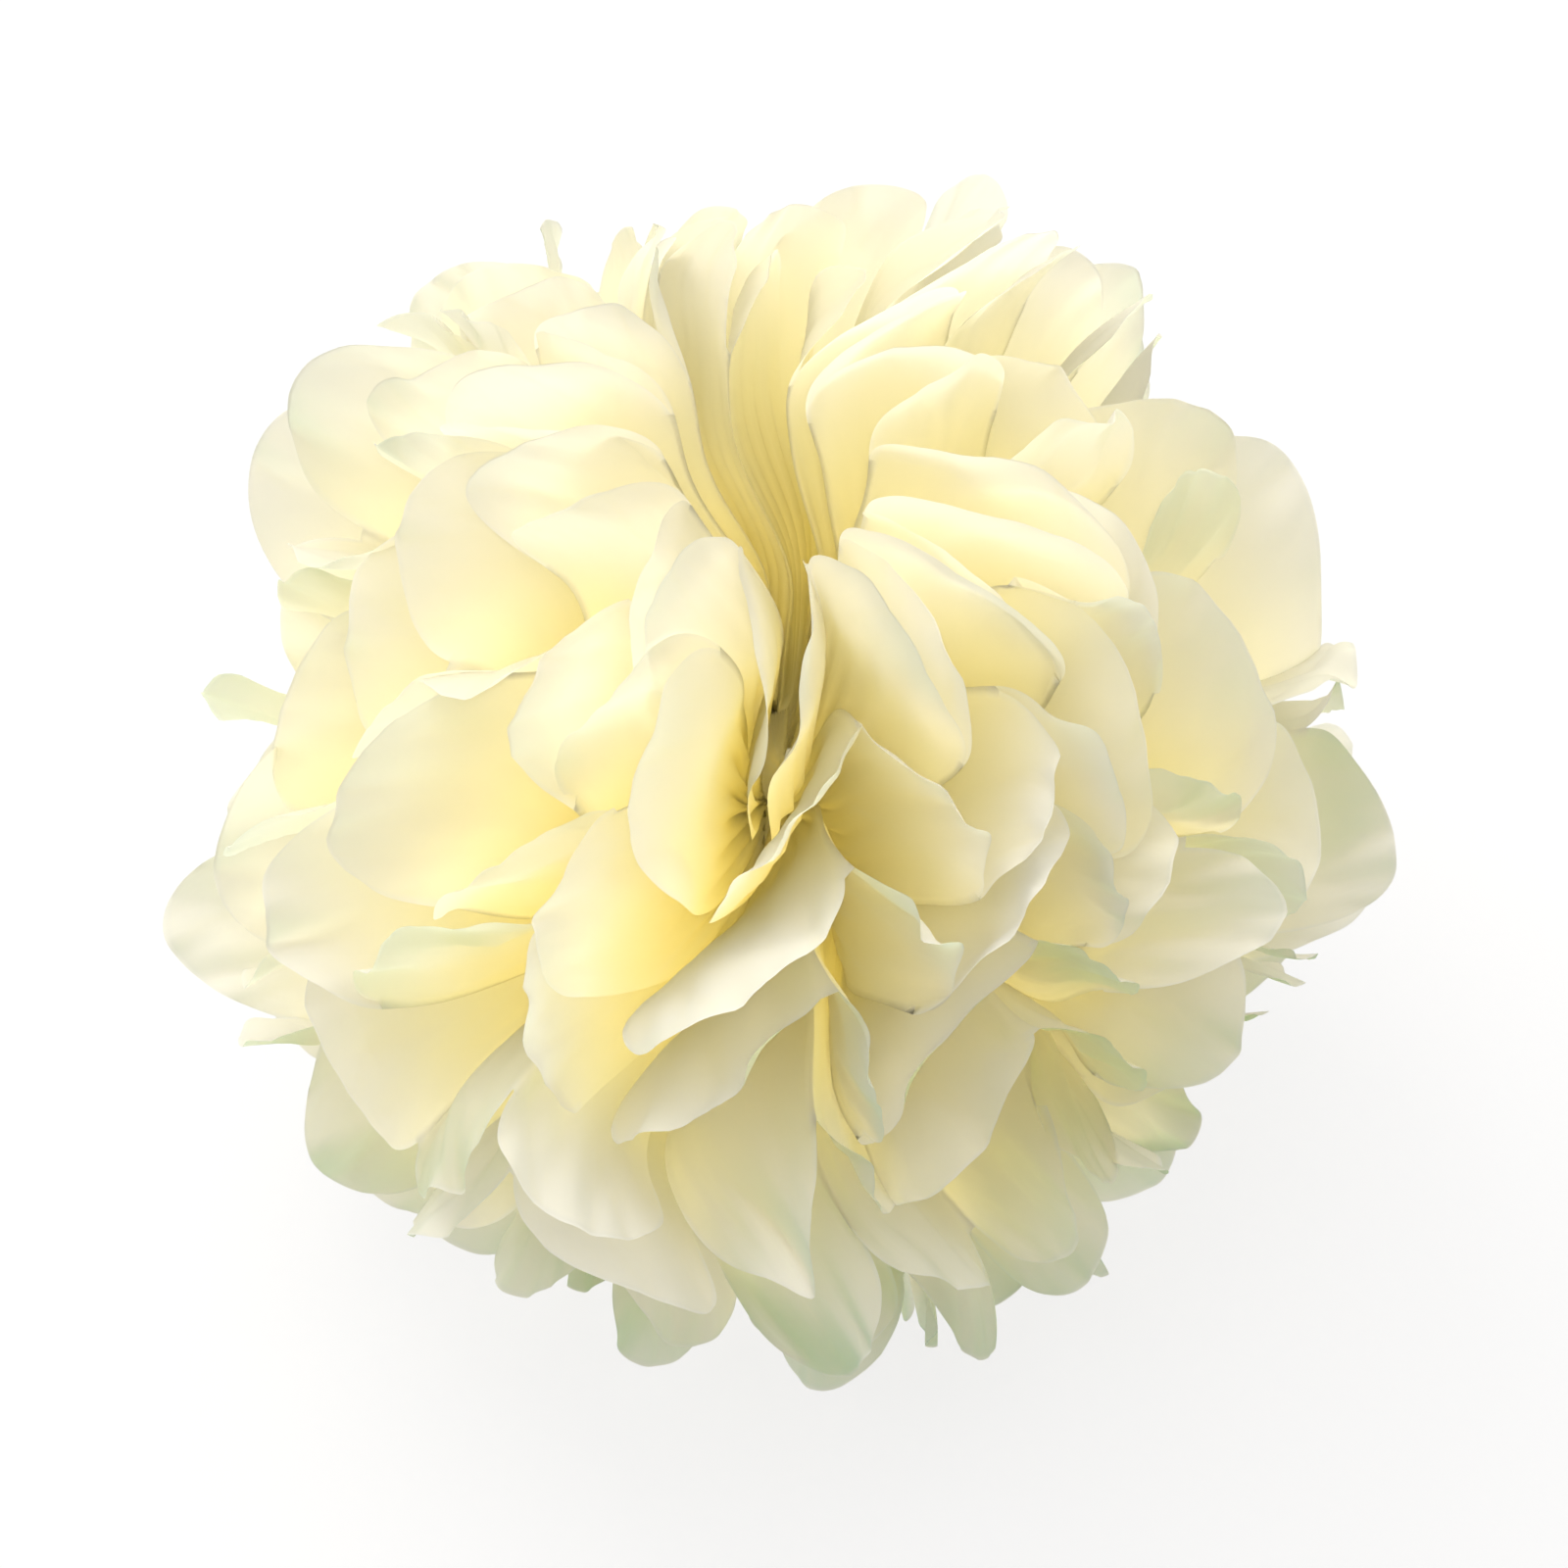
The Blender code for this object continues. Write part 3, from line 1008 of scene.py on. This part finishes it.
@dataclass(frozen=True)
class LightPaths:
    """How far light is followed among the sheets: some matt bounces, then a short ambient fill."""

    longest: int = 40
    matt: int = 2
    fill_reach: float = 0.8 * MM
    fill_strength: float = 3.8

    def apply(self) -> None:
        """Set the bounces, and the fill that stands for the rest of them."""
        scene = bpy.context.scene
        scene.cycles.max_bounces = self.longest
        scene.cycles.diffuse_bounces = self.longest
        scene.cycles.transmission_bounces = self.longest
        scene.cycles.use_fast_gi = True
        scene.cycles.fast_gi_method = "REPLACE"
        scene.cycles.ao_bounces_render = self.matt
        scene.world.light_settings.distance = self.fill_reach
        scene.world.light_settings.ao_factor = self.fill_strength


@dataclass
class Studio:
    """The pale table, the soft lights and the camera."""

    target: Vector
    camera_azimuth: float = 11 * DEG
    camera_elevation: float = 55 * DEG
    camera_distance: float = 0.75
    lens: float = 102.5
    shift: tuple[float, float] = (0.0, -0.020)
    table_side: float = 6.0
    horizon: float = 0.0
    zenith: float = 1.56
    dark_below: float = 0.18
    bright_above: float = 0.9
    sky: tuple[float, float, float, float] = (1.0, 0.98, 0.97, 1.0)
    bright_side: tuple[float, float, float] = (-0.28, 0.36, 0.89)

    def _aim(self, item: bpy.types.Object, target: Vector) -> None:
        """Turn an object's view axis to a point."""
        item.rotation_euler = (target - item.location).to_track_quat("-Z", "Y").to_euler()

    def _hang(self, lamp: Lamp) -> None:
        """Hang one soft lamp aimed at the ball.

        Args:
            lamp: The lamp to hang.
        """
        light = bpy.data.lights.new(lamp.name, "SPOT" if lamp.cone else "AREA")
        light.energy = lamp.energy
        light.color = lamp.colour
        if lamp.cone:
            light.spot_size = lamp.cone
            light.spot_blend = 1.0
            light.shadow_soft_size = lamp.size
        else:
            light.size = lamp.size
        item = bpy.data.objects.new(lamp.name, light)
        bpy.context.scene.collection.objects.link(item)
        item.location = lamp.place
        self._aim(item, self.target + Vector((0.0, 0.0, lamp.aim_rise)))

    def _floor(self) -> None:
        """Lay the table that the ball stands on."""
        select_none()
        bpy.ops.mesh.primitive_grid_add(x_subdivisions=4, y_subdivisions=4, size=self.table_side,
                                        location=(0, 0, 0))
        floor = bpy.context.object
        floor.name = "pale_table"
        floor.data.materials.append(FloorFinish().material())

    def _world(self) -> None:
        """Fill the room with soft light, white where the camera sees it."""
        world = bpy.data.worlds.new("soft_room")
        bpy.context.scene.world = world
        world.use_nodes = True
        nodes, links = world.node_tree.nodes, world.node_tree.links
        fill = nodes["Background"]
        fill.inputs["Color"].default_value = self.sky
        place = nodes.new("ShaderNodeTexCoord")
        height = nodes.new("ShaderNodeVectorMath")
        height.operation = "DOT_PRODUCT"
        height.inputs[1].default_value = self.bright_side
        level = nodes.new("ShaderNodeMapRange")
        level.inputs["From Min"].default_value = self.dark_below
        level.inputs["From Max"].default_value = self.bright_above
        level.inputs["To Min"].default_value = self.horizon
        level.inputs["To Max"].default_value = self.zenith
        links.new(place.outputs["Generated"], height.inputs[0])
        links.new(height.outputs["Value"], level.inputs["Value"])
        links.new(level.outputs["Result"], fill.inputs["Strength"])
        seen = nodes.new("ShaderNodeBackground")
        seen.inputs["Color"].default_value = (1.0, 1.0, 1.0, 1.0)
        path = nodes.new("ShaderNodeLightPath")
        mix = nodes.new("ShaderNodeMixShader")
        links.new(path.outputs["Is Camera Ray"], mix.inputs["Fac"])
        links.new(fill.outputs["Background"], mix.inputs[1])
        links.new(seen.outputs["Background"], mix.inputs[2])
        links.new(mix.outputs["Shader"], nodes["World Output"].inputs["Surface"])

    def _camera(self) -> None:
        """Set the camera at the photograph's angle."""
        data = bpy.data.cameras.new("studio_camera")
        data.lens = self.lens
        data.shift_x, data.shift_y = self.shift
        camera = bpy.data.objects.new("studio_camera", data)
        bpy.context.scene.collection.objects.link(camera)
        level = math.cos(self.camera_elevation)
        way = Vector((level * math.sin(self.camera_azimuth), -level * math.cos(self.camera_azimuth),
                      math.sin(self.camera_elevation)))
        camera.location = self.target + self.camera_distance * way
        self._aim(camera, self.target)
        bpy.context.scene.camera = camera

    def build(self) -> None:
        """Set up the whole studio."""
        self._floor()
        self._world()
        self._hang(KEY)
        self._hang(SLIT)
        self._camera()


def main() -> None:
    """Build the ball and its studio, and report every piece."""
    logging.basicConfig(level=logging.INFO, format="%(message)s")
    low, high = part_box("tie_wire")
    axis = Vector(((low[0] + high[0]) / 2, (low[1] + high[1]) / 2, 0.0))
    bpy.context.scene.view_settings.view_transform = "Standard"
    tissue = TissueFinish().material(axis)
    opening = Opening(CUT, FAN)
    chance = PetalChance(CUT, SOFT)
    blank = FlatSheet()
    for index in range(CUT.sheets):
        sheet = TissueSheet(index, opening, chance, axis).build(blank, tissue)
        LOG.info("%s: %d faces", sheet.name, len(sheet.data.polygons))
    wire = TieWire(axis).build(WireFinish().material())
    LOG.info("%s: %d faces", wire.name, len(wire.data.polygons))
    Studio(Vector((axis.x, axis.y, VIEW_HEIGHT))).build()
    LightPaths().apply()


if __name__ == "__main__":
    main()
